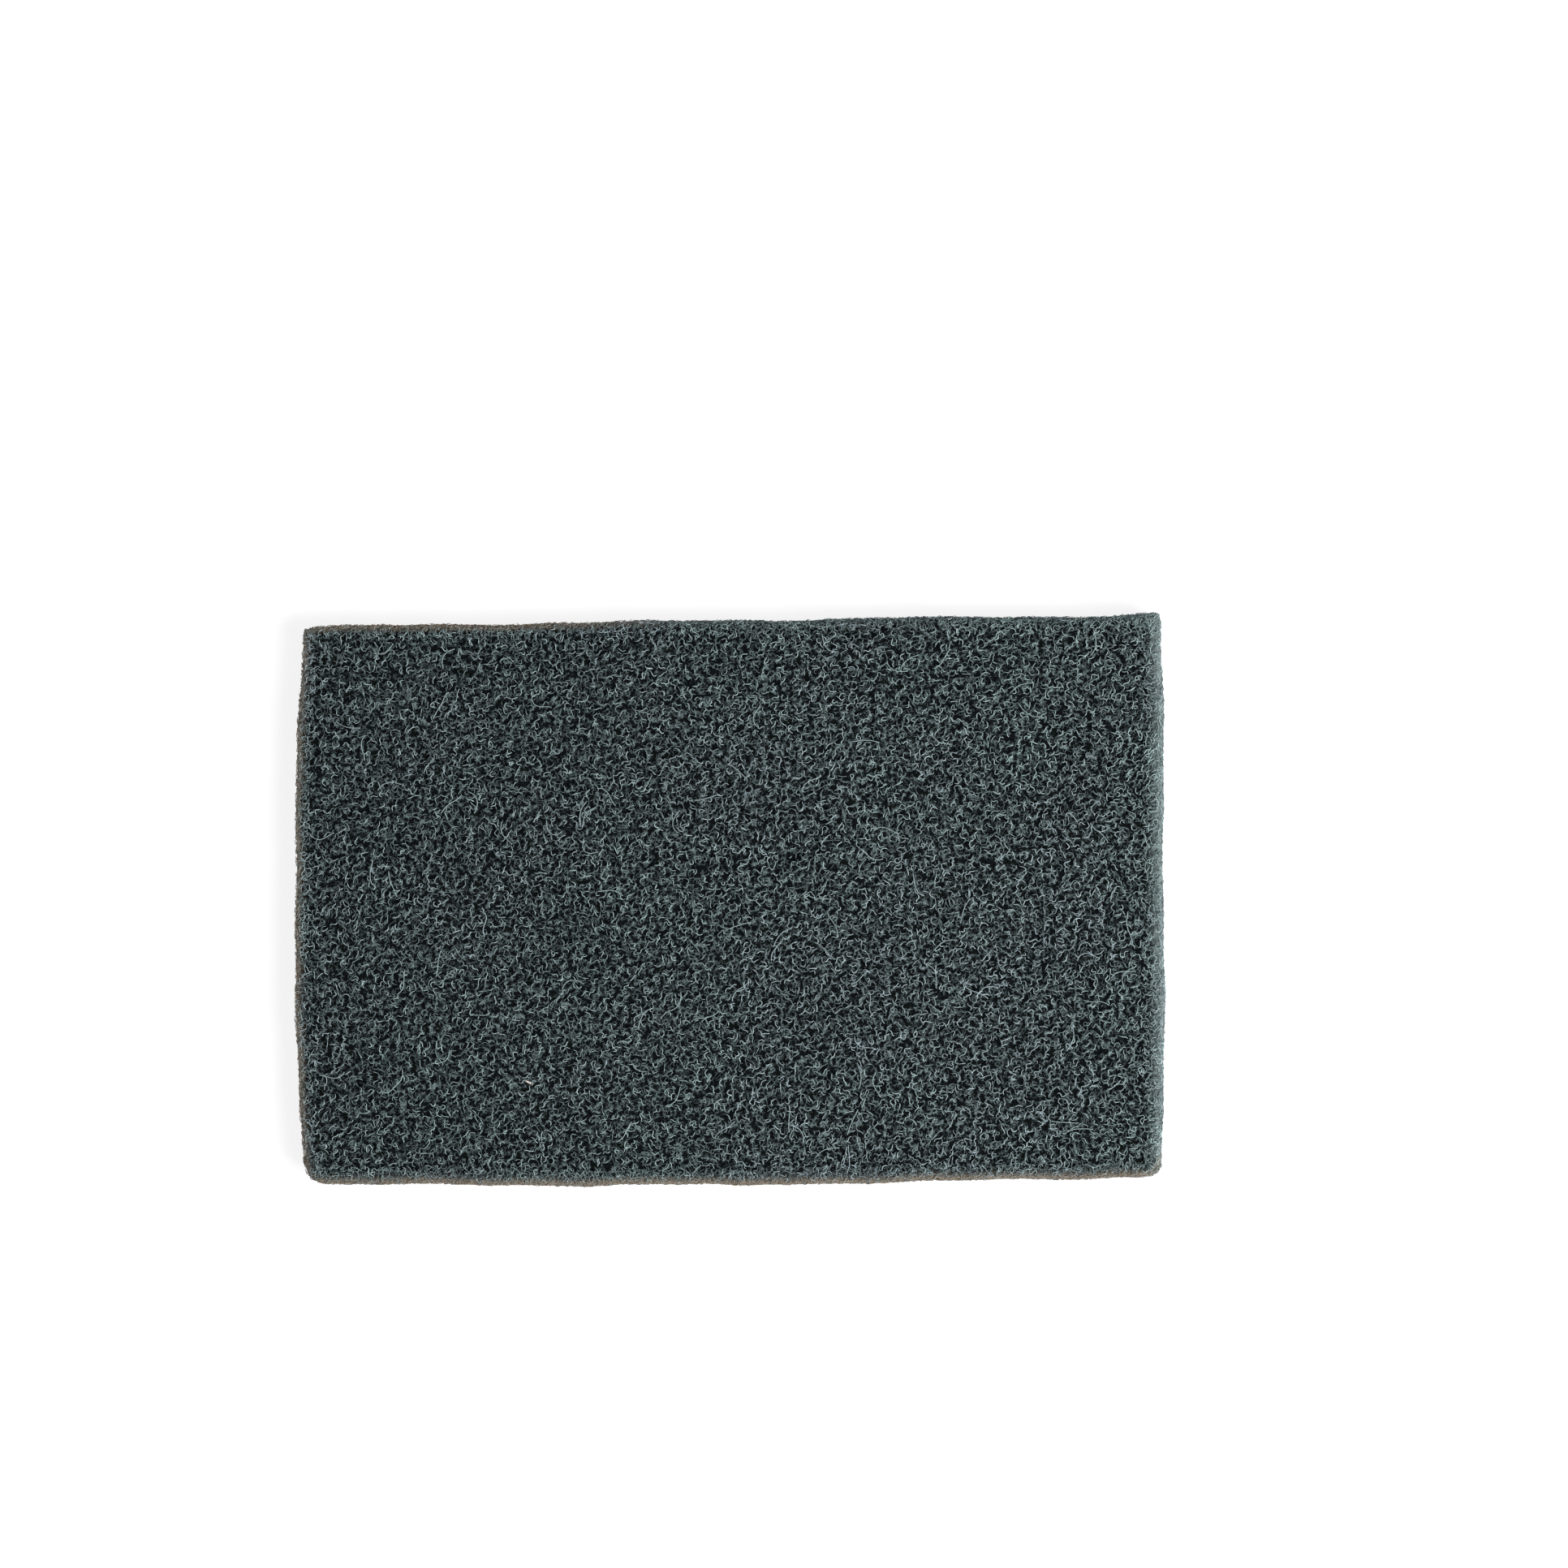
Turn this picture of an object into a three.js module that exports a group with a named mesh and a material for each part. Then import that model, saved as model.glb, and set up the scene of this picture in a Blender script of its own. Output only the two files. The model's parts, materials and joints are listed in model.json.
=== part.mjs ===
// Nylon scouring pad: one die-cut piece of bonded non-woven web, lying flat.
// Millimetres, +Z up. The origin lies under the middle of the pad, on the surface that it rests on.
// +X runs along the length, and +Y across the width, from the front cut edge to the rear one.
import * as THREE from "three";

// Overall size, corner to corner
const padLength = 149;
const padWidth = 96.8;
const padThickness = 8;

// Corner radii left by the cutting die, seen from above
const frontLeftRadius = 3.8;
const frontRightRadius = 2.6;
const rearLeftRadius = 1;
const rearRightRadius = 1.1;
const sharpestRadius = 0.25;

// How far each cut side bows out between its corners
const frontBow = 0.75;
const rearBow = 0.11;
const leftBow = 1.46;
const rightBow = 0.28;

// How far each cut side is out of square: outwards at its right or rear end, and inwards at the other
const frontSkew = -0.19;
const rearSkew = -0.09;
const leftSkew = 0.1;
const rightSkew = 0.45;

// Unevenness along the cut sides: a long wave, with a shorter and lower one on it
const edgeWaveHeight = 0.16;
const edgeWaveLength = 47;
const shortWaveHeight = 0.1;
const shortWaveLength = 17;

// Where the waves stand in the middle of each side, in radians
const frontPhase = 5.68;
const rearPhase = 3.46;
const leftPhase = 4.3;
const rightPhase = 4.14;

// Fibre tufts that stand out of the cut: one near the middle of the front, one at the rear right corner
const frontTuftHeight = 0.4;
const frontTuftPlace = 0.5;
const cornerTuftHeight = 0.5;
const tuftRun = 3;

// Section through a cut side: rounded shoulders, with a shallow hollow between them
const upperShoulderRadius = 1.7;
const lowerShoulderRadius = 1.1;
const sideHollow = 0.25;
const shoulderSteps = 2;
const cutRoughness = 0.06;

// The open web of both faces: crowns of fibre at full thickness, with pores between them
const webCellsAlong = 52;
const webCellsAcross = 38;
const edgeCrowding = 0.15;
const cellJitter = 0.22;
const crownShare = 0.36;
const closedMiddleRadius = 4;
const denseRimWidth = 5;
const poreDepth = 1.1;
const largePoreDepth = 2.4;
const webSeed = 41;

// The few large pores of the upper face, as shares of the length and width from the middle
const largePores = [
  [-0.286, 0.163],
  [-0.282, 0.126],
  [0.068, 0.08],
  [0.082, 0.087],
  [-0.42, 0.047],
  [-0.418, -0.231],
  [-0.429, -0.301],
];

const webColor = 0x3f494b;
const webRoughness = 0.95;

const { cos, sin, exp, abs, min, max, hypot, sign, PI } = Math;
const random = THREE.MathUtils.seededRandom;

// How far a cut side stands out at a place along it, from its bow, its skew and its waves
function sideReach(place, span, bow, skew, phase) {
  const longWave = edgeWaveHeight * sin((2 * PI * place) / edgeWaveLength + phase);
  const shortWave = shortWaveHeight * sin((2 * PI * place) / shortWaveLength + 2 * phase);
  return bow * cos((PI * place) / span) + (skew * place) / (span / 2) + longWave + shortWave;
}

function tuftReach(height, distance) {
  return height * exp(-((distance / tuftRun) ** 2));
}

function frontReach(x) {
  const tuft = tuftReach(frontTuftHeight, x - frontTuftPlace);
  return sideReach(x, padLength, frontBow, frontSkew, frontPhase) + tuft;
}

function rearReach(x) {
  const tuft = tuftReach(cornerTuftHeight, x - padLength / 2);
  return sideReach(x, padLength, rearBow, rearSkew, rearPhase) + tuft;
}

function leftReach(y) {
  return sideReach(y, padWidth, leftBow, leftSkew, leftPhase);
}

function rightReach(y) {
  return sideReach(y, padWidth, rightBow, rightSkew, rightPhase);
}

function cornerRadius(x, y) {
  if (y < 0) return x < 0 ? frontLeftRadius : frontRightRadius;
  return x < 0 ? rearLeftRadius : rearRightRadius;
}

// Pulls a point of the plain rectangle in to its corner arc
function roundCorner(point, halfLength, halfWidth, inset) {
  const radius = max(cornerRadius(point.x, point.y) - inset, sharpestRadius);
  const pastX = abs(point.x) - (halfLength - radius);
  const pastY = abs(point.y) - (halfWidth - radius);
  if (pastX <= 0 || pastY <= 0) return;
  const pull = max(pastX, pastY) / hypot(pastX, pastY);
  point.x = sign(point.x) * (halfLength - radius + pastX * pull);
  point.y = sign(point.y) * (halfWidth - radius + pastY * pull);
}

// The plan of the pad: a place u, v in the square from -1 to 1 goes to the outline drawn in by the inset
function planPoint(u, v, inset) {
  const halfLength = padLength / 2 - inset;
  const halfWidth = padWidth / 2 - inset;
  const point = new THREE.Vector2(u * halfLength, v * halfWidth);
  roundCorner(point, halfLength, halfWidth, inset);
  const { x, y } = point;
  point.x += max(u, 0) ** 2 * rightReach(y) - max(-u, 0) ** 2 * leftReach(y);
  point.y += max(v, 0) ** 2 * rearReach(x) - max(-v, 0) ** 2 * frontReach(x);
  return point;
}

// Spreads evenly spaced places from -1 to 1 so that they crowd towards the cut edges
function crowded(share) {
  return share * (1 + edgeCrowding * (1 - share * share));
}

// The web's rows of places. Every second row is shifted by half a cell, so that six cells meet at a point.
function webRows() {
  const rows = [];
  for (let j = 0; j <= webCellsAcross; j++) {
    const shares = [];
    const shift = j % 2 === 0 ? 0 : 0.5;
    if (shift > 0) shares.push(-1);
    for (let i = 0; i + shift <= webCellsAlong; i++) {
      shares.push((2 * (i + shift)) / webCellsAlong - 1);
    }
    if (shift > 0) shares.push(1);
    const v = crowded((2 * j) / webCellsAcross - 1);
    rows.push(shares.map((share) => ({ u: crowded(share), v })));
  }
  return rows;
}

// Collects the points and triangles of one closed skin
class Skin {
  constructor() {
    this.points = [];
    this.triangles = [];
  }

  addPoint(x, y, z) {
    this.points.push(x, y, z);
    return this.points.length / 3 - 1;
  }

  addTriangle(a, b, c, turned) {
    if (turned) this.triangles.push(a, c, b);
    else this.triangles.push(a, b, c);
  }

  geometry() {
    const made = new THREE.BufferGeometry();
    made.setAttribute("position", new THREE.Float32BufferAttribute(this.points, 3));
    made.setIndex(this.triangles);
    return made;
  }
}

// Depth of the web below its crowns at one place. Pores grow shallow towards the cut edges, where the
// web is dense, and there are none in the very middle, where the pad lies and is pressed.
function webDepth(x, y) {
  const isCrown = random() < crownShare;
  const depth = poreDepth * random() ** 0.7;
  const fromRim = min(padLength / 2 - abs(x), padWidth / 2 - abs(y));
  const openness = THREE.MathUtils.clamp(fromRim / denseRimWidth, 0, 1);
  return isCrown || hypot(x, y) < closedMiddleRadius ? 0 : openness * depth;
}

// Moves a place inside a face by up to the jitter, and leaves the places on its rim
function jittered(place) {
  const { u, v } = place;
  const moveU = (2 * random() - 1) * cellJitter * (2 / webCellsAlong);
  const moveV = (2 * random() - 1) * cellJitter * (2 / webCellsAcross);
  const onRim = abs(u) === 1 || abs(v) === 1;
  return onRim ? { u, v, onRim } : { u: u + moveU, v: v + moveV, onRim };
}

// One face of open web. crownHeight is the plane of its crowns, and inward is -1 where its pores go
// down and 1 where they go up.
function addFace(skin, rows, inset, crownHeight, inward) {
  const indices = rows.map((row) =>
    row.map((place) => {
      const { u, v, onRim } = jittered(place);
      const { x, y } = planPoint(u, v, inset);
      const depth = webDepth(x, y);
      return skin.addPoint(x, y, crownHeight + (onRim ? 0 : inward * depth));
    }),
  );
  const facesUp = inward < 0;
  for (let j = 0; j < webCellsAcross; j++) {
    const shiftedFirst = j % 2 === 1;
    const straight = shiftedFirst ? indices[j + 1] : indices[j];
    const shifted = shiftedFirst ? indices[j] : indices[j + 1];
    const turned = shiftedFirst === facesUp;
    for (let i = 0; i <= webCellsAlong; i++) {
      skin.addTriangle(straight[i], shifted[i + 1], shifted[i], turned);
      if (i < webCellsAlong) skin.addTriangle(straight[i], straight[i + 1], shifted[i + 1], turned);
    }
  }
  return indices;
}

// The places round the rim of a face, anticlockwise from the front left corner
function rimOf(rows) {
  const sides = rows.slice(1, -1);
  return [
    ...rows[0],
    ...sides.map((row) => row.at(-1)),
    ...[...rows.at(-1)].reverse(),
    ...sides.map((row) => row[0]).reverse(),
  ];
}

// Heights and insets of the rings down a cut side, between the rims of the two faces
function sideSection() {
  const section = [];
  const upperMiddle = padThickness - upperShoulderRadius;
  for (let step = 1; step <= shoulderSteps; step++) {
    const angle = (PI / 2) * (1 - step / shoulderSteps);
    section.push({
      inset: upperShoulderRadius * (1 - cos(angle)),
      height: upperMiddle + upperShoulderRadius * sin(angle),
    });
  }
  section.push({ inset: sideHollow, height: (upperMiddle + lowerShoulderRadius) / 2 });
  for (let step = 0; step < shoulderSteps; step++) {
    const angle = (PI / 2) * (step / shoulderSteps);
    section.push({
      inset: lowerShoulderRadius * (1 - cos(angle)),
      height: lowerShoulderRadius * (1 - sin(angle)),
    });
  }
  return section;
}

// The cut sides: rings of points from the upper rim down to the lower one
function addSides(skin, rimPlaces, upperRim, lowerRim) {
  const rings = sideSection().map(({ inset, height }) =>
    rimPlaces.map(({ u, v }) => {
      const { x, y } = planPoint(u, v, inset + cutRoughness * random());
      return skin.addPoint(x, y, height);
    }),
  );
  const all = [upperRim, ...rings, lowerRim];
  for (let k = 0; k + 1 < all.length; k++) {
    for (let i = 0; i < rimPlaces.length; i++) {
      const next = (i + 1) % rimPlaces.length;
      skin.addTriangle(all[k][i], all[k + 1][i], all[k + 1][next], false);
      skin.addTriangle(all[k][i], all[k + 1][next], all[k][next], false);
    }
  }
}

// Lowers the web's nearest point to each of the large pores
function sinkLargePores(skin, indices) {
  const inner = indices.slice(1, -1).flatMap((row) => row.slice(1, -1));
  for (const [alongShare, acrossShare] of largePores) {
    const x = alongShare * padLength;
    const y = acrossShare * padWidth;
    const gap = (index) => hypot(skin.points[3 * index] - x, skin.points[3 * index + 1] - y);
    const nearest = inner.reduce((best, index) => (gap(index) < gap(best) ? index : best));
    skin.points[3 * nearest + 2] = padThickness - largePoreDepth;
  }
}

function padGeometry() {
  random(webSeed);
  const skin = new Skin();
  const rows = webRows();
  const upper = addFace(skin, rows, upperShoulderRadius, padThickness, -1);
  const lower = addFace(skin, rows, lowerShoulderRadius, 0, 1);
  sinkLargePores(skin, upper);
  addSides(skin, rimOf(rows), rimOf(upper), rimOf(lower));
  const geometry = skin.geometry();
  geometry.computeBoundingBox();
  const middle = geometry.boundingBox.getCenter(new THREE.Vector3());
  geometry.translate(-middle.x, -middle.y, 0);
  geometry.computeVertexNormals();
  return geometry;
}

const webMaterial = new THREE.MeshStandardMaterial({
  color: webColor,
  roughness: webRoughness,
  metalness: 0,
  flatShading: true,
});

const pad = new THREE.Group();
const scouringPad = new THREE.Mesh(padGeometry(), webMaterial);
scouringPad.name = "scouring_pad";
pad.add(scouringPad);

export default pad;
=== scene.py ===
# %% [markdown]
# # A nylon scouring pad
# A scouring pad is a sheet of crimped nylon fibres, sprayed with resin and cut out with a die. Nothing
# in it is solid: what the eye reads as a grey slab is thousands of curly fibres over dark gaps. So this
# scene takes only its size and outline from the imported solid, and builds a dark, pitted web body with
# real fibres lying on it.

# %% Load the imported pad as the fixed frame
import json
import math

import bpy
import numpy as np
from mathutils import Matrix, Vector

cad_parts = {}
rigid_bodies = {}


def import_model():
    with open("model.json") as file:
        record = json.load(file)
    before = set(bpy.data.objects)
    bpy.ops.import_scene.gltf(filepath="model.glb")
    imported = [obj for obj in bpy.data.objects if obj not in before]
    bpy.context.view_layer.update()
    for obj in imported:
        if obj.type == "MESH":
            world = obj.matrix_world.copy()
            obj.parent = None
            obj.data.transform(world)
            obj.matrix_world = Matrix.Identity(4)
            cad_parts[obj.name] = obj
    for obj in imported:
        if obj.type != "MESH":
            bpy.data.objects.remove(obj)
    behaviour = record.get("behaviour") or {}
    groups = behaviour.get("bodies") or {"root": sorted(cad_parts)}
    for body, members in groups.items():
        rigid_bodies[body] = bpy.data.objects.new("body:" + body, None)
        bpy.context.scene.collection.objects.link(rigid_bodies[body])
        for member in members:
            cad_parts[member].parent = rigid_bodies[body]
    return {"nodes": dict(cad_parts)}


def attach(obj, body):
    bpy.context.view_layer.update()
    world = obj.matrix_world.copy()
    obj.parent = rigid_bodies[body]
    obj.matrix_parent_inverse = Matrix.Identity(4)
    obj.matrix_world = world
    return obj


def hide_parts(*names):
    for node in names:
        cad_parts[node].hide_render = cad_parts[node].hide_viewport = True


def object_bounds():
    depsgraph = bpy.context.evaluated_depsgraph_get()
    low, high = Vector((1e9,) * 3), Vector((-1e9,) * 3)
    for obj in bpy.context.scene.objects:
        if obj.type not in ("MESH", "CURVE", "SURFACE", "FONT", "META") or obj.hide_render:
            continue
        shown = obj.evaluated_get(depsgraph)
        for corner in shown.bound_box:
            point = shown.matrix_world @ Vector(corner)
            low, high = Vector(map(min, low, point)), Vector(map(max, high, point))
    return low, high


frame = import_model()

MM = 0.001
solid_pad = frame["nodes"]["scouring_pad"]
solid_low, solid_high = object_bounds()
length, width, thickness = (solid_high - solid_low) / MM
print(f"solid pad: {length:.1f} x {width:.1f} x {thickness:.1f} mm")

# %% [markdown]
# ## The cut outline
# Every fibre has to end where the die cut it, so the scene needs one question answered quickly, for
# hundreds of thousands of points: how far inside the cut edge is this place? The outline is read from
# the ring of corners at the foot of the solid's upper shoulder. The distance is worked out once on a
# fine grid, like a contour map, and then looked up.

# %% Read the outline from the solid
shoulder_foot = 6.3
ring_tolerance = 0.05
solid_points = np.array([v.co for v in solid_pad.data.vertices]) / MM
on_ring = np.abs(solid_points[:, 2] - shoulder_foot) < ring_tolerance
near_side = (np.abs(solid_points[:, 0]) > 0.45 * length) | (np.abs(solid_points[:, 1]) > 0.45 * width)
outline = np.unique(solid_points[on_ring & near_side][:, :2].round(3), axis=0)
turn = np.arctan2(outline[:, 1] / width, outline[:, 0] / length)
outline = outline[np.argsort(turn)]
print("outline corners:", len(outline))

# %% Work out the contour map of distances from the cut edge
map_step = 0.25
map_margin = 4.0
map_low = np.array([-length / 2 - map_margin, -width / 2 - map_margin])
map_size = np.ceil((np.array([length, width]) + 2 * map_margin) / map_step).astype(int)


def contour_map():
    """Distance inside the cut edge in mm at each grid point, below 0 outside it."""
    xs = map_low[0] + map_step * np.arange(map_size[0])
    ys = map_low[1] + map_step * np.arange(map_size[1])
    x, y = (a.ravel() for a in np.meshgrid(xs, ys, indexing="ij"))
    nearest = np.full(x.shape, np.inf)
    crossings = np.zeros(x.shape, int)
    for (ax, ay), (bx, by) in zip(outline, np.roll(outline, -1, axis=0)):
        dx, dy = bx - ax, by - ay
        along = np.clip(((x - ax) * dx + (y - ay) * dy) / (dx * dx + dy * dy), 0, 1)
        nearest = np.minimum(nearest, np.hypot(x - ax - along * dx, y - ay - along * dy))
        if ay != by:
            spans = (ay > y) != (by > y)
            crossings += spans & (x < ax + (y - ay) * dx / dy)
    inside = crossings % 2 == 1
    return np.where(inside, nearest, -nearest).reshape(map_size)


edge_map = contour_map()


def inside_edge(x, y):
    """How far inside the cut edge each place lies, in mm, read between the four nearest grid points."""
    across = np.clip((x - map_low[0]) / map_step, 0, map_size[0] - 2)
    upward = np.clip((y - map_low[1]) / map_step, 0, map_size[1] - 2)
    i, j = across.astype(int), upward.astype(int)
    fx, fy = across - i, upward - j
    near = edge_map[i, j] * (1 - fx) + edge_map[i + 1, j] * fx
    far = edge_map[i, j + 1] * (1 - fx) + edge_map[i + 1, j + 1] * fx
    return near * (1 - fy) + far * fy


print("deepest place inside the edge:", round(float(edge_map.max()), 1), "mm")

# %% [markdown]
# The die squeezes the web as it cuts, so a band along each edge is denser and paler than the middle. On
# this pad the band is widest on the right, narrower at the front and narrowest at the rear and left.

# %% Width of the pressed band
narrow_band = 1.2
wide_band = 4.0
side_zone = 7.0


def eased(value):
    value = np.clip(value, 0, 1)
    return value * value * (3 - 2 * value)


def band_width(x, y):
    """Width of the pressed, paler band at the nearest edge, in mm."""
    to_right = eased((x - length / 2 + side_zone) / side_zone)
    to_front = eased((-y - width / 2 + side_zone) / side_zone)
    return narrow_band + (wide_band - narrow_band) * np.maximum(to_right, 0.5 * to_front)


def pressed(x, y):
    """1 at the cut edge, falling to 0 at the inner side of the pressed band."""
    return eased(1 - inside_edge(x, y) / band_width(x, y))


def band_paleness_and_painted_light(x, y):
    """How pale the pressed band is: 1 on the right, less on the left and least at the front and rear. The
    denser band is paler all round, and the differences between the sides, palest on the right, are painted
    light.
    """
    to_right = eased((x - length / 2 + side_zone) / side_zone)
    to_left = eased((-x - length / 2 + side_zone) / side_zone)
    return 0.38 + 0.62 * np.maximum(to_right, 0.55 * to_left)


def rim_warmth(x, y):
    """1 at the very rim of the left, front and left rear sides, where the resin has turned a little brown."""
    to_left = eased((-x - length / 2 + side_zone) / side_zone)
    to_front = eased((-y - width / 2 + side_zone) / side_zone)
    to_rear = eased((y - width / 2 + side_zone) / side_zone) * eased(-4 * x / length)
    return np.maximum.reduce([to_left, 0.9 * to_front, to_rear]) * eased(1 - inside_edge(x, y) / 1.6)


# %% [markdown]
# ## The camera
# The picture looks almost straight down on the pad, from a little to its right and front, so that a
# thin strip of those two cut edges shows. A long lens from about a metre keeps the outline nearly
# square.

# %% Place the camera
camera_target = Vector((9.68, 20.30, 4.0)) * MM
camera_distance = 0.9
camera_tilt = math.radians(4.5)
camera_roll = math.radians(-0.364)
camera_lens = 119.24


def add_camera():
    lean = math.tan(camera_tilt)
    back = Vector((lean, -lean, 1)).normalized()
    level = Vector((0, 1, 0)).cross(back).normalized()
    level_up = back.cross(level)
    right = level * math.cos(camera_roll) + level_up * math.sin(camera_roll)
    up = level_up * math.cos(camera_roll) - level * math.sin(camera_roll)
    made = bpy.data.objects.new("camera", bpy.data.cameras.new("camera"))
    bpy.context.collection.objects.link(made)
    made.data.lens = camera_lens
    made.data.clip_start = 0.01
    turned = Matrix((right, up, back)).transposed().to_4x4()
    made.matrix_world = Matrix.Translation(camera_target + back * camera_distance) @ turned
    return made


bpy.context.scene.camera = add_camera()
print("camera at", [round(v, 3) for v in bpy.context.scene.camera.matrix_world.translation])

# %% [markdown]
# ## Fibres
# A crimped fibre swings from side to side like a flattened spring. Each one here is a path whose
# heading swings with a wave, whose wave lies in a plane turned at random, and which wanders a little as
# it goes. All paths of a layer are worked out together as arrays, because thousands of curve objects
# would take minutes.


# %% Curly paths
def even_middles(rng, count, low, high):
    """Places on a jittered grid between two corners, so that no patch is left bare."""
    span = np.subtract(high, low)
    cell = math.sqrt(span[0] * span[1] / count)
    grid = np.meshgrid(np.arange(low[0], high[0], cell), np.arange(low[1], high[1], cell), indexing="ij")
    places = np.stack(grid, 2).reshape(-1, 2)
    return places + cell * rng.uniform(0, 1, places.shape)


def curly_paths(rng, middles, depths, steps, step, crimp, swing, wander, rise):
    """Paths of crimped fibres through the middles, as fibres x points x 3 in mm. The third is -depth."""
    count = len(middles)
    run = step * np.arange(steps + 1)
    wave = crimp * rng.uniform(0.7, 1.4, (count, 1))
    phase = rng.uniform(0, 2 * np.pi, (count, 1))
    roll = rng.normal(0, 0.75, (count, 1))
    swings = swing * rng.uniform(0.7, 1.3, (count, 1)) * np.sin(2 * np.pi * run / wave + phase)
    drift = np.cumsum(rng.normal(0, wander, (count, steps + 1)), axis=1)
    heading = rng.uniform(0, 2 * np.pi, (count, 1)) + swings * np.cos(roll) + drift
    slope = rise * swings * np.sin(roll)
    level = np.cos(slope)
    move = step * np.stack([level * np.cos(heading), level * np.sin(heading), np.sin(slope)], 2)
    path = np.cumsum(move, axis=1)
    path -= path.mean(axis=1, keepdims=True)
    path[:, :, :2] += middles[:, None, :]
    path[:, :, 2] -= depths[:, None]
    return path


# %% [markdown]
# A path becomes a fibre when a three-sided tube is drawn along it. Three sides are enough at this size,
# because the shading is smoothed round them. The tube is cut off where the path leaves the pad, and
# both ends are closed, so every fibre is a small closed solid.

# %% Tubes along paths
SIDES = 3


def tube_rings(paths, radii):
    """The corners round each point of each path, as fibres x points x sides x 3."""
    tangent = np.gradient(paths, axis=1)
    tangent /= np.linalg.norm(tangent, axis=2, keepdims=True) + 1e-9
    side = np.cross(tangent, (0.0, 0.0, 1.0))
    side /= np.linalg.norm(side, axis=2, keepdims=True) + 1e-9
    up = np.cross(side, tangent)
    angles = np.pi / 2 + 2 * np.pi * np.arange(SIDES) / SIDES
    spokes = side[:, :, None, :] * np.cos(angles)[:, None] + up[:, :, None, :] * np.sin(angles)[:, None]
    return paths[:, :, None, :] + radii[:, None, None, None] * spokes


def tube_triangles(kept):
    """Triangles of the tubes through the kept points, with both ends of each run closed."""
    before = np.zeros_like(kept)
    before[:, 1:] = kept[:, :-1]
    after = np.zeros_like(kept)
    after[:, :-1] = kept[:, 1:]
    number = (np.cumsum(kept.ravel()) - 1).reshape(kept.shape)
    first = number[kept & after]
    starts, ends = number[kept & ~before], number[kept & ~after]
    made = []
    for k in range(SIDES):
        n = (k + 1) % SIDES
        a, b = first * SIDES + k, first * SIDES + n
        c, d = a + SIDES, b + SIDES
        made.append(np.stack([a, c, b], 1))
        made.append(np.stack([b, c, d], 1))
    made.append(np.stack([starts * SIDES, starts * SIDES + 1, starts * SIDES + 2], 1))
    made.append(np.stack([ends * SIDES, ends * SIDES + 2, ends * SIDES + 1], 1))
    return np.concatenate(made)


def without_crumbs(kept, shortest):
    """The kept points without the runs that are too short to be a fibre."""
    whole = kept.copy()
    for _ in range(shortest - 1):
        whole[:, 1:] &= whole[:, :-1].copy()
        whole[:, 0] = False
    for _ in range(shortest - 1):
        whole[:, :-1] |= whole[:, 1:].copy()
    return kept & whole


# %% [markdown]
# Two numbers ride on every corner of a fibre: how light it is (tone), which holds painted shade and
# painted light as well as its own lightness, and how brown (warmth). The material reads them. A flat
# map of the pad seen from above is added too, for anyone who wants to bake the colours.

# %% From arrays to a Blender mesh
built = []


def mesh_object(name, points_mm, triangles, tone, warmth):
    mesh = bpy.data.meshes.new(name)
    mesh.vertices.add(len(points_mm))
    mesh.vertices.foreach_set("co", (points_mm * MM).astype(np.float32).ravel())
    mesh.loops.add(triangles.size)
    mesh.loops.foreach_set("vertex_index", triangles.astype(np.int32).ravel())
    mesh.polygons.add(len(triangles))
    mesh.polygons.foreach_set("loop_start", (3 * np.arange(len(triangles))).astype(np.int32))
    mesh.polygons.foreach_set("use_smooth", np.ones(len(triangles), bool))
    mesh.attributes.new("tone", "FLOAT", "POINT").data.foreach_set("value", tone.astype(np.float32))
    mesh.attributes.new("warmth", "FLOAT", "POINT").data.foreach_set("value", warmth.astype(np.float32))
    seen_from_above = points_mm[triangles.ravel()][:, :2] / (length + 2 * map_margin) + 0.5
    mesh.uv_layers.new(name="OFBake").data.foreach_set("uv", seen_from_above.astype(np.float32).ravel())
    mesh.update(calc_edges=True)
    made = bpy.data.objects.new(name, mesh)
    bpy.context.collection.objects.link(made)
    built.append(made)
    print(f"{name}: {len(triangles)} triangles")
    return made


def fibre_object(name, paths, radii, kept, tone, warmth):
    """One object of all fibres, drawn along the kept points of the paths."""
    kept = without_crumbs(kept, 3)
    rings = tube_rings(paths, radii)[kept]
    tones, warmths = (np.repeat(np.broadcast_to(a, kept.shape)[kept], SIDES) for a in (tone, warmth))
    return mesh_object(name, rings.reshape(-1, 3), tube_triangles(kept), tones, warmths)


# %% [markdown]
# ## The open faces
# The web of a face is built in layers. Each layer is a sheet of fibres at one depth: the deep ones are
# dark, because shadow fills the web, and the ones on top catch the light. The ends of a fibre dive into
# the web, so that few loose ends show. Densities are millimetres of fibre on each square millimetre.

# %% Face layers
fibre_radius = 0.068
fibre_step = 0.28
fibre_steps = 6
crimp_length = 2.0
crimp_swing = 1.15
end_dive = 0.25
brown_left_on_wall = 0.15
fibre_wander = 0.17
fibre_rise = 0.7
edge_margin = 0.2
underside_margin = 1.0
own_tone_spread = 0.17
darker_per_mm = 0.4
lighter_to_right = 0.105
press_lightens = 0.3
press_darkens = 0.12
wall_top = 1.2
wall_fade = 1.5
highest_crown = 0.1
shoulder_radius = 1.7
pore_places = np.array([
    [-43.2, 15.8], [-42.6, 12.2], [10.3, 7.8], [12.4, 8.4], [-63.4, 4.6], [-63.1, -22.4], [-64.8, -29.1],
])
pore_radius = 0.62


def shoulder_drop(inside, radius=shoulder_radius):
    """How far a rounded shoulder has fallen away from its face at a distance inside the cut edge."""
    left = np.clip(radius - inside, 0, radius)
    return radius - np.sqrt(np.maximum(radius**2 - left**2, 0))


def on_wall(z):
    """0 on the upper face and its shoulder, rising to 1 on the upright cut side."""
    return eased((thickness - wall_top - z) / wall_fade)


def browned_fibres(rng, count):
    """How brown each fibre turns at the rim: most a little, some clearly."""
    return np.where(rng.uniform(0, 1, (count, 1)) < 0.75, 1.0, 0.4)


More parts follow.
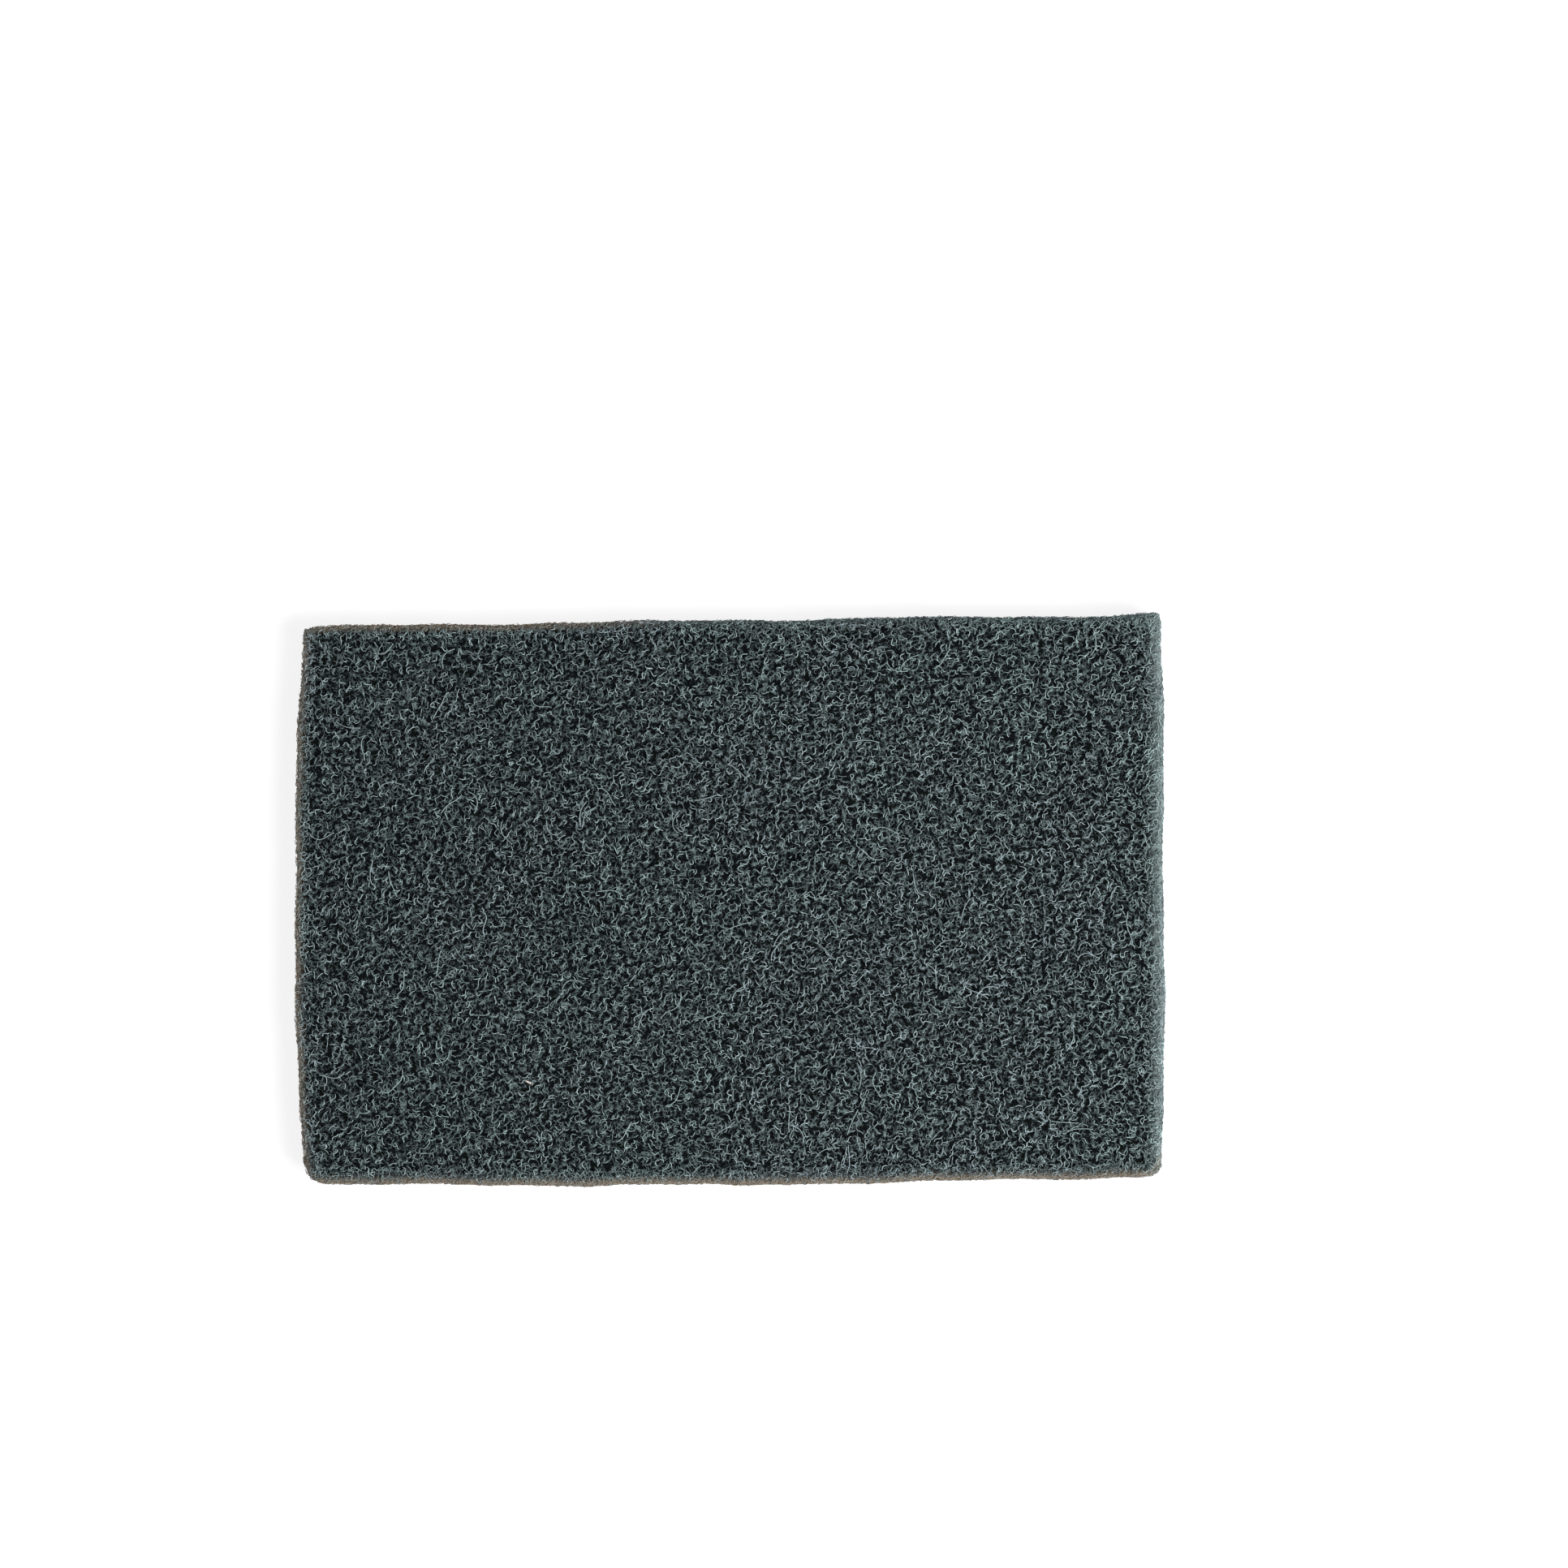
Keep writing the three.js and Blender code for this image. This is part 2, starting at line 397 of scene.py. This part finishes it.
def off_pores(x, y):
    """Whether places are clear of the few wide pores of the upper face."""
    gaps = [np.hypot(x - px, y - py) for px, py in pore_places]
    return np.minimum.reduce(gaps) > pore_radius


def face_layer(name, seed, density, shallowest, deepest, layer_light, facing=1, coarseness=1.0):
    rng = np.random.default_rng(seed)
    reach = np.array([length, width]) / 2 + 1.5
    step = fibre_step * coarseness
    count = int(density * 4 * reach[0] * reach[1] / (fibre_steps * step))
    middles = even_middles(rng, count, -reach, reach)
    depths = rng.uniform(shallowest, deepest, len(middles))
    crimp = crimp_length * coarseness
    paths = curly_paths(rng, middles, depths, fibre_steps, step, crimp, crimp_swing, fibre_wander, fibre_rise)
    x, y = paths[:, :, 0], paths[:, :, 1]
    inside = inside_edge(x, y)
    along = np.linspace(-1, 1, fibre_steps + 1)
    depth = np.maximum(-paths[:, :, 2] + end_dive * along**4, -highest_crown)
    pressed_share = rng.uniform(0.15, 0.9, (len(middles), 1))
    kept = inside > edge_margin + 0.7 * pressed_share * (band_width(x, y) - narrow_band)
    if facing > 0:
        kept &= off_pores(x, y)
    else:
        kept &= inside > underside_margin
    own_tone = rng.normal(0, own_tone_spread, (len(middles), 1))
    # The pressed band is paler because it is denser; how much paler it is on each side is painted light.
    squeezed = pressed(x, y) * (press_lightens * band_paleness_and_painted_light(x, y) - press_darkens)
    # Painted light: the faces grow lighter towards the right, the side the key lamp stands on.
    press_and_painted_light = lighter_to_right * x / (length / 2) + squeezed
    # Painted shade: deeper layers get a lower layer_light and lose darker_per_mm of tone for each mm down.
    tone = np.clip(layer_light + own_tone - darker_per_mm * depth + press_and_painted_light, 0, 1)
    height = thickness - depth - shoulder_drop(inside) - fibre_radius
    paths[:, :, 2] = np.maximum(height if facing > 0 else thickness - height, 1.1 * fibre_radius)
    radii = fibre_radius * coarseness * rng.uniform(0.75, 1.25, len(middles))
    return fibre_object(name, paths, radii, kept, tone, rim_warmth(x, y) * browned_fibres(rng, len(middles)))


# Each deeper layer is given a darker layer_light: painted shade.
face_layer("upper_web_crown", 11, density=0.58, shallowest=0.0, deepest=0.1, layer_light=0.93)
face_layer("upper_web_middle", 12, density=0.58, shallowest=0.12, deepest=0.3, layer_light=0.8)
face_layer("upper_web_deep", 13, density=0.56, shallowest=0.32, deepest=0.52, layer_light=0.57)
face_layer(
    "lower_web", 15, density=0.4, shallowest=0.0, deepest=0.35, layer_light=0.75, facing=-1, coarseness=1.5,
)

# %% [markdown]
# A few fibres have lost their crimp and lie long and smooth on top. One pale fleck, a crumb of bare
# nylon, is caught in the web near the front left.

# %% Long smooth fibres and the fleck
long_fibre_places = [[-70.5, 11.8], [-38.6, 11.9]]
fleck_place = [-34.6, -31.0]


def loose_pieces(name, seed, places, steps, step, radius, tone):
    rng = np.random.default_rng(seed)
    middles = np.array(places)
    depths = rng.uniform(-0.05, 0.05, len(middles))
    paths = curly_paths(rng, middles, depths, steps, step, 30 * step, 0.9, 0.05, 0.05)
    inside = inside_edge(paths[:, :, 0], paths[:, :, 1])
    paths[:, :, 2] += thickness - shoulder_drop(inside) - radius
    tones = np.full((len(middles), 1), tone)
    return fibre_object(name, paths, np.full(len(middles), radius), inside > 1, tones, 0.0 * inside)


spread = np.random.default_rng(16).uniform(-0.46, 0.46, (80, 2)) * [length, width]
loose_pieces("long_fibres", 17, [*long_fibre_places, *spread], steps=13, step=0.36, radius=0.075, tone=0.85)
fleck = loose_pieces("pale_fleck", 18, [fleck_place], steps=4, step=0.27, radius=0.27, tone=1.0)

# %% [markdown]
# ## The cut sides
# The sides are the same web seen from its cut edge. The fibres are first laid on a flat strip, as if
# the side were unrolled: one way runs round the outline, the other over the shoulder and down the side.
# Then the strip is wrapped round the pad.

# %% Unrolled side strip
lower_shoulder = 1.1
side_hollow = 0.25
strip_step = 0.25
side_wander = 0.2
side_rise = 0.6
side_fuzz = 0.16
side_darker_per_mm = 0.5
foot_shade = 0.35
foot_height = 1.5
closed_ring = np.vstack([outline, outline[:1]])
corner_run = np.concatenate([[0], np.cumsum(np.hypot(*np.diff(closed_ring, axis=0).T))])
strip_length = corner_run[-1]
strip_run = np.arange(0, strip_length, strip_step)
strip_xy = np.stack([np.interp(strip_run, corner_run, closed_ring[:, k]) for k in range(2)], 1)
heading_xy = sum(np.roll(strip_xy, -k, axis=0) - np.roll(strip_xy, k, axis=0) for k in (1, 2, 3))
heading_xy /= np.linalg.norm(heading_xy, axis=1, keepdims=True)
outward_xy = np.stack([heading_xy[:, 1], -heading_xy[:, 0]], 1)

upper_arc = shoulder_radius * np.pi / 2
upright = thickness - shoulder_radius - lower_shoulder
lower_arc = lower_shoulder * np.pi / 2
strip_height = upper_arc + upright + lower_arc
down_run = np.linspace(-4, strip_height + 4, 700)
strip_bends = [0, upper_arc, upper_arc + upright, strip_height]
facing_angle = np.interp(down_run, strip_bends, [np.pi / 2, 0, 0, -np.pi / 2])
down_step = down_run[1] - down_run[0]
out_by = np.cumsum(np.sin(facing_angle)) * down_step
out_by -= out_by.max()
fallen = np.cumsum(np.cos(facing_angle)) * down_step
height_by = thickness - fallen
out_by -= side_hollow * np.clip(1 - ((height_by - 3.7) / 3) ** 2, 0, 1) * (np.cos(facing_angle) > 0.9)


def on_side(run, down, depth):
    """Places on the side of the pad, from places on the unrolled strip and depths below its skin."""
    tracks = (*strip_xy.T, *outward_xy.T)
    at = [np.interp(run % strip_length, strip_run, track, period=strip_length) for track in tracks]
    out, height, angle = (np.interp(down, down_run, a) for a in (out_by, height_by, facing_angle))
    outward = out - depth * np.cos(angle)
    return np.stack([at[0] + at[2] * outward, at[1] + at[3] * outward, height - depth * np.sin(angle)], -1)


def side_layer(name, seed, density, top, bottom, depth_range, steps, step, crimp, radius, tones):
    rng = np.random.default_rng(seed)
    count = int(density * strip_length * (bottom - top) / (steps * step))
    middles = even_middles(rng, count, (0, top), (strip_length, bottom))
    depths = rng.uniform(*depth_range, len(middles))
    paths = curly_paths(rng, middles, depths, steps, step, crimp, crimp_swing, side_wander, side_rise)
    depth = np.maximum(-paths[:, :, 2], -side_fuzz)
    down = paths[:, :, 1]
    places = on_side(paths[:, :, 0], down, depth + radius)
    x, y = places[:, :, 0], places[:, :, 1]
    share = rng.uniform(0.25, 1.0, (len(middles), 1))
    kept = (down > -share * band_width(x, y)) & (down < bottom)
    places[:, :, 2] = np.clip(places[:, :, 2], 1.1 * radius, thickness)
    # How pale the side fibres are on each side, palest on the right, is painted light.
    lightness = rng.uniform(*tones, (len(middles), 1)) * (0.55 + 0.45 * band_paleness_and_painted_light(x, y))
    # Painted shade: side fibres darken with depth below the skin and towards the floor.
    shaded = foot_shade * eased(1 - places[:, :, 2] / foot_height)
    tone = np.clip(lightness - side_darker_per_mm * depth - shaded, 0, 1)
    radii = radius * rng.uniform(0.75, 1.2, len(middles))
    faded = 1 - (1 - brown_left_on_wall) * on_wall(places[:, :, 2])
    warmth = rim_warmth(x, y) * faded * browned_fibres(rng, len(middles))
    return fibre_object(name, places, radii, kept, tone, warmth)


side_layer(
    "cut_side_web", 31, density=1.9, top=1.2, bottom=strip_height - 0.6, depth_range=(-0.1, 0.25),
    steps=8, step=0.42, crimp=2.5, radius=0.075, tones=(0.2, 1.0),
)
side_layer(
    "pressed_band", 32, density=2.9, top=-3.6, bottom=2.8, depth_range=(-0.12, 0.1),
    steps=5, step=0.32, crimp=1.6, radius=0.06, tones=(0.3, 1.1),
)

# %% [markdown]
# ## The web body
# Below the loose fibres the web is too dense to build strand by strand. A copy of the solid is remeshed
# evenly, drawn in so that the fibres lie over it, and pitted with noise. Below, it reaches down to the
# lower fibres. Its material draws the deeper fibres as thin, curly lines.

# %% Body mesh
body_grain = 0.9
body_depth = 0.75
body_depth_at_edge = 0.15
body_pits = 0.35
underside_depth = 0.16
side_depth = 0.02
wall_tone = 0.3


def web_body():
    made = solid_pad.copy()
    made.data = solid_pad.data.copy()
    bpy.context.collection.objects.link(made)
    remesh = made.modifiers.new("even_skin", "REMESH")
    remesh.mode = "VOXEL"
    remesh.voxel_size = body_grain * MM
    mesh = bpy.data.meshes.new_from_object(made.evaluated_get(bpy.context.evaluated_depsgraph_get()))
    made.modifiers.clear()
    made.data = mesh
    made.name = mesh.name = "web_body"
    points, normals = (np.empty(len(mesh.vertices) * 3, np.float32) for _ in range(2))
    mesh.vertices.foreach_get("co", points)
    mesh.vertices.foreach_get("normal", normals)
    points, normals = points.reshape(-1, 3) / MM, normals.reshape(-1, 3)
    rng = np.random.default_rng(21)
    noise = rng.uniform(0, 1, len(points))
    near_edge = pressed(points[:, 0], points[:, 1])
    points[:, :2] -= normals[:, :2] * side_depth * (0.8 + 0.4 * noise[:, None])
    inside = inside_edge(points[:, 0], points[:, 1])
    pits = body_pits * noise * (1 - 0.7 * near_edge)
    depth = body_depth + (body_depth_at_edge - body_depth) * near_edge + pits
    highest = np.maximum(thickness - shoulder_drop(inside) - depth, thickness / 2)
    lowest = np.minimum(shoulder_drop(inside, lower_shoulder) + underside_depth * (0.5 + noise), thickness / 2)
    points[:, 2] = np.clip(points[:, 2], lowest, highest)
    mesh.vertices.foreach_set("co", (points * MM).astype(np.float32).ravel())
    wall = on_wall(points[:, 2])
    # The body's pale felt follows the pressed band; how pale it is on each side is painted light.
    tone = near_edge * band_paleness_and_painted_light(points[:, 0], points[:, 1]) * (1 + (wall_tone - 1) * wall)
    mesh.attributes.new("tone", "FLOAT", "POINT").data.foreach_set("value", tone.astype(np.float32))
    warmth = rim_warmth(points[:, 0], points[:, 1]) * (1 - (1 - brown_left_on_wall) * wall)
    mesh.attributes.new("warmth", "FLOAT", "POINT").data.foreach_set("value", warmth.astype(np.float32))
    mesh.update()
    built.append(made)
    print("web_body:", sum(len(p.vertices) - 2 for p in mesh.polygons), "triangles")
    return made


body = web_body()
print("all pieces:", sum(sum(len(p.vertices) - 2 for p in piece.data.polygons) for piece in built), "triangles")

# %% [markdown]
# ## Materials
# The fibres are nylon with a thin coat of grey-green resin and fine grit: matt, slightly varied from
# fibre to fibre, and darker deep in the web. Broad, faint patches of the coat are a little bluer or
# greener, as sprayed resin never falls quite evenly.


# %% Small helpers for node trees
def new_material(name):
    made = bpy.data.materials.new(name)
    made.use_nodes = True
    return made, made.node_tree, made.node_tree.nodes["Principled BSDF"]


def math_node(tree, operation, first, second=None):
    made = tree.nodes.new("ShaderNodeMath")
    made.operation = operation
    for socket, value in zip(made.inputs, (first, second)):
        if isinstance(value, (int, float)):
            socket.default_value = value
        elif value is not None:
            tree.links.new(value, socket)
    return made.outputs[0]


def noise_node(tree, place, scale, detail=0.0, distortion=0.0):
    made = tree.nodes.new("ShaderNodeTexNoise")
    made.inputs["Scale"].default_value = scale
    made.inputs["Detail"].default_value = detail
    made.inputs["Distortion"].default_value = distortion
    tree.links.new(place, made.inputs["Vector"])
    return made.outputs["Fac"]


def map_range(tree, value, from_low, from_high, to_low, to_high, smooth=False):
    made = tree.nodes.new("ShaderNodeMapRange")
    made.interpolation_type = "SMOOTHSTEP" if smooth else "LINEAR"
    ends = {"From Min": from_low, "From Max": from_high, "To Min": to_low, "To Max": to_high}
    for name, number in ends.items():
        made.inputs[name].default_value = number
    tree.links.new(value, made.inputs["Value"])
    return made.outputs["Result"]


def colour_ramp(tree, stops, source):
    ramp = tree.nodes.new("ShaderNodeValToRGB")
    elements = ramp.color_ramp.elements
    while len(elements) < len(stops):
        elements.new(0.5)
    for element, (place, colour) in zip(elements, stops):
        element.position = place
        element.color = (*colour, 1)
    tree.links.new(source, ramp.inputs["Fac"])
    return ramp.outputs["Color"]


def mix_colours(tree, factor, first, second, blend="MIX"):
    made = tree.nodes.new("ShaderNodeMix")
    made.data_type = "RGBA"
    made.blend_type = blend
    for socket, value in ((made.inputs["Factor"], factor), (made.inputs[6], first), (made.inputs[7], second)):
        if isinstance(value, (int, float)):
            socket.default_value = value
        elif isinstance(value, tuple):
            socket.default_value = (*value, 1)
        else:
            tree.links.new(value, socket)
    return made.outputs[2]


def number_on_mesh(tree, name):
    made = tree.nodes.new("ShaderNodeAttribute")
    made.attribute_name = name
    return made.outputs["Fac"]


def resin_patches(tree, place, colour):
    """Faint bluer and greener, lighter and darker patches of the resin coat."""
    tint = colour_ramp(
        tree,
        [(0.35, (0.95, 1.0, 0.98)), (0.65, (1.0, 0.99, 1.03))],
        noise_node(tree, place, 55.0, 1.0),
    )
    tinted = mix_colours(tree, 1.0, colour, tint, "MULTIPLY")
    level = map_range(tree, noise_node(tree, place, 140.0, 2.0), 0.3, 0.7, 0.86, 1.14)
    grey = tree.nodes.new("ShaderNodeCombineColor")
    for socket in grey.inputs:
        tree.links.new(level, socket)
    return mix_colours(tree, 1.0, tinted, grey.outputs["Color"], "MULTIPLY")


def bump_node(tree, height, distance, strength=1.0):
    made = tree.nodes.new("ShaderNodeBump")
    made.inputs["Strength"].default_value = strength
    made.inputs["Distance"].default_value = distance
    tree.links.new(height, made.inputs["Height"])
    return made.outputs["Normal"]


# %% Fibre material
brown_resin = (0.34, 0.25, 0.17)


def fibre_material():
    made, tree, shader = new_material("resin_coated_fibre")
    place = tree.nodes.new("ShaderNodeTexCoord").outputs["Object"]
    ramp = colour_ramp(
        tree,
        [(0.0, (0.02, 0.027, 0.028)), (0.5, (0.17, 0.22, 0.228)), (1.0, (0.5, 0.62, 0.635))],
        number_on_mesh(tree, "tone"),
    )
    patched = resin_patches(tree, place, ramp)
    brown_share = math_node(tree, "MULTIPLY", number_on_mesh(tree, "warmth"), 0.85)
    browned = mix_colours(tree, brown_share, patched, brown_resin)
    grit = noise_node(tree, place, 2600.0, 2.0)
    gritty = mix_colours(tree, map_range(tree, grit, 0.35, 0.65, 0.25, 0.0), browned, (0.02, 0.025, 0.026))
    tree.links.new(gritty, shader.inputs["Base Color"])
    tree.links.new(map_range(tree, grit, 0.3, 0.7, 0.72, 0.45), shader.inputs["Roughness"])
    tree.links.new(bump_node(tree, grit, 0.03 * MM, 0.5), shader.inputs["Normal"])
    shader.inputs["Specular IOR Level"].default_value = 0.14
    return made


resin_fibre = fibre_material()


def bare_nylon_material():
    made, tree, shader = new_material("bare_nylon")
    place = tree.nodes.new("ShaderNodeTexCoord").outputs["Object"]
    cloud = noise_node(tree, place, 3000.0, 2.0)
    colour = colour_ramp(tree, [(0.3, (0.5, 0.46, 0.41)), (0.7, (0.74, 0.68, 0.62))], cloud)
    tree.links.new(colour, shader.inputs["Base Color"])
    shader.inputs["Roughness"].default_value = 0.55
    return made


fleck.data.materials.append(bare_nylon_material())


# %% Web body material
def vector_node(tree, operation, first, second):
    made = tree.nodes.new("ShaderNodeVectorMath")
    made.operation = operation
    for socket, value in zip(made.inputs, (first, second)):
        if isinstance(value, tuple):
            socket.default_value = value
        else:
            tree.links.new(value, socket)
    return made.outputs[0]


def fibre_network(tree, place, cells, thinness, warp):
    """1 along a warped net of thin lines, 0 in its meshes: fibres that bend round pores."""
    noise = tree.nodes.new("ShaderNodeTexNoise")
    noise.inputs["Scale"].default_value = cells
    noise.inputs["Detail"].default_value = 1.0
    tree.links.new(place, noise.inputs["Vector"])
    centred = vector_node(tree, "SUBTRACT", noise.outputs["Color"], (0.5, 0.5, 0.5))
    pushed = vector_node(tree, "MULTIPLY", centred, (warp, warp, warp))
    net = tree.nodes.new("ShaderNodeTexVoronoi")
    net.feature = "DISTANCE_TO_EDGE"
    net.inputs["Scale"].default_value = cells
    tree.links.new(vector_node(tree, "ADD", place, pushed), net.inputs["Vector"])
    lines = map_range(tree, net.outputs["Distance"], 0.0, thinness, 1.0, 0.0, smooth=True)
    broken = map_range(tree, noise_node(tree, place, 0.8 * cells), 0.38, 0.6, 0.08, 1.0)
    return math_node(tree, "MULTIPLY", lines, broken)


def body_material():
    made, tree, shader = new_material("deep_web")
    place = tree.nodes.new("ShaderNodeTexCoord").outputs["Object"]
    near = fibre_network(tree, place, 1250.0, 0.2, 0.9 * MM)
    far = math_node(tree, "MULTIPLY", fibre_network(tree, place, 1700.0, 0.2, 0.6 * MM), 0.6)
    lines = math_node(tree, "MAXIMUM", near, far)
    # Painted shade: the pores are nearly black and the drawn lines dim, standing in for the shadow deep in the
    # web.
    depths = colour_ramp(
        tree,
        [(0.0, (0.0015, 0.0022, 0.0025)), (0.35, (0.005, 0.007, 0.0075)), (1.0, (0.14, 0.184, 0.19))],
        lines,
    )
    felt = colour_ramp(
        tree,
        [(0.3, (0.1, 0.125, 0.126)), (0.7, (0.24, 0.29, 0.29))],
        noise_node(tree, place, 1700.0, 2.0),
    )
    whole = mix_colours(tree, number_on_mesh(tree, "tone"), depths, felt)
    brown_share = math_node(tree, "MULTIPLY", number_on_mesh(tree, "warmth"), 0.6)
    browned = mix_colours(tree, brown_share, whole, brown_resin)
    tree.links.new(browned, shader.inputs["Base Color"])
    tree.links.new(bump_node(tree, lines, 0.3 * MM, 0.8), shader.inputs["Normal"])
    shader.inputs["Roughness"].default_value = 0.85
    shader.inputs["Specular IOR Level"].default_value = 0.05
    return made


body.data.materials.clear()
body.data.materials.append(body_material())
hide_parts("scouring_pad")
for piece in built:
    if not piece.data.materials:
        piece.data.materials.append(resin_fibre)
    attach(piece, "root")

# %% [markdown]
# ## Floor and light
# A plain white floor and a soft, even light, as for a catalogue picture. The key lamp stands to the
# right and in front, so the right and front edges are the brightest. For the camera the floor is mostly
# its own white, so that only a faint shadow stays on it.


# %% Floor
def background_share(tree):
    """1 for rays that see plain white, from the camera, reflections or glass, and 0 for the rest."""
    path = tree.nodes.new("ShaderNodeLightPath").outputs
    shown = math_node(tree, "MAXIMUM", path["Is Camera Ray"], path["Is Glossy Ray"])
    return math_node(tree, "MAXIMUM", shown, path["Is Transmission Ray"])


def white_floor():
    half = 3.0
    mesh = bpy.data.meshes.new("floor")
    corners = [(-half, -half, 0), (half, -half, 0), (half, half, 0), (-half, half, 0)]
    mesh.from_pydata(corners, [], [(0, 1, 2, 3)])
    made = bpy.data.objects.new("floor", mesh)
    bpy.context.collection.objects.link(made)
    made.location.z = -0.00005
    material, tree, shader = new_material("white_paper")
    shader.inputs["Base Color"].default_value = (0.88, 0.88, 0.88, 1)
    shader.inputs["Roughness"].default_value = 0.95
    shader.inputs["Specular IOR Level"].default_value = 0.1
    own_white = tree.nodes.new("ShaderNodeEmission")
    own_white.inputs["Strength"].default_value = 1.12
    distance = tree.nodes.new("ShaderNodeVectorMath")
    distance.operation = "LENGTH"
    tree.links.new(tree.nodes.new("ShaderNodeTexCoord").outputs["Object"], distance.inputs[0])
    own_share = map_range(tree, distance.outputs["Value"], 0.15, 0.6, 0.75, 1.0, smooth=True)
    mixed = tree.nodes.new("ShaderNodeMixShader")
    tree.links.new(math_node(tree, "MULTIPLY", background_share(tree), own_share), mixed.inputs["Fac"])
    tree.links.new(shader.outputs[0], mixed.inputs[1])
    tree.links.new(own_white.outputs[0], mixed.inputs[2])
    tree.links.new(mixed.outputs[0], tree.nodes["Material Output"].inputs["Surface"])
    mesh.materials.append(material)
    return made


white_floor()


# %% Lights
def soft_lamp(name, place, size, power):
    lamp = bpy.data.lights.new(name, "AREA")
    lamp.size = size
    lamp.energy = power
    made = bpy.data.objects.new(name, lamp)
    bpy.context.collection.objects.link(made)
    made.location = place
    made.rotation_euler = (-Vector(place)).to_track_quat("-Z", "Y").to_euler()
    return made


def studio_world(light, seen):
    """Even light from all round, seen as white by the camera and in reflections."""
    world = bpy.data.worlds.new("studio")
    bpy.context.scene.world = world
    world.use_nodes = True
    tree = world.node_tree
    strength = map_range(tree, background_share(tree), 0.0, 1.0, light, seen)
    tree.links.new(strength, tree.nodes["Background"].inputs["Strength"])
    tree.nodes["Background"].inputs["Color"].default_value = (1, 1, 1, 1)


soft_lamp("key_lamp", (0.55, -0.32, 0.7), 0.45, 14.0)
studio_world(0.3, 1.0)
bpy.context.scene.view_settings.view_transform = "Standard"
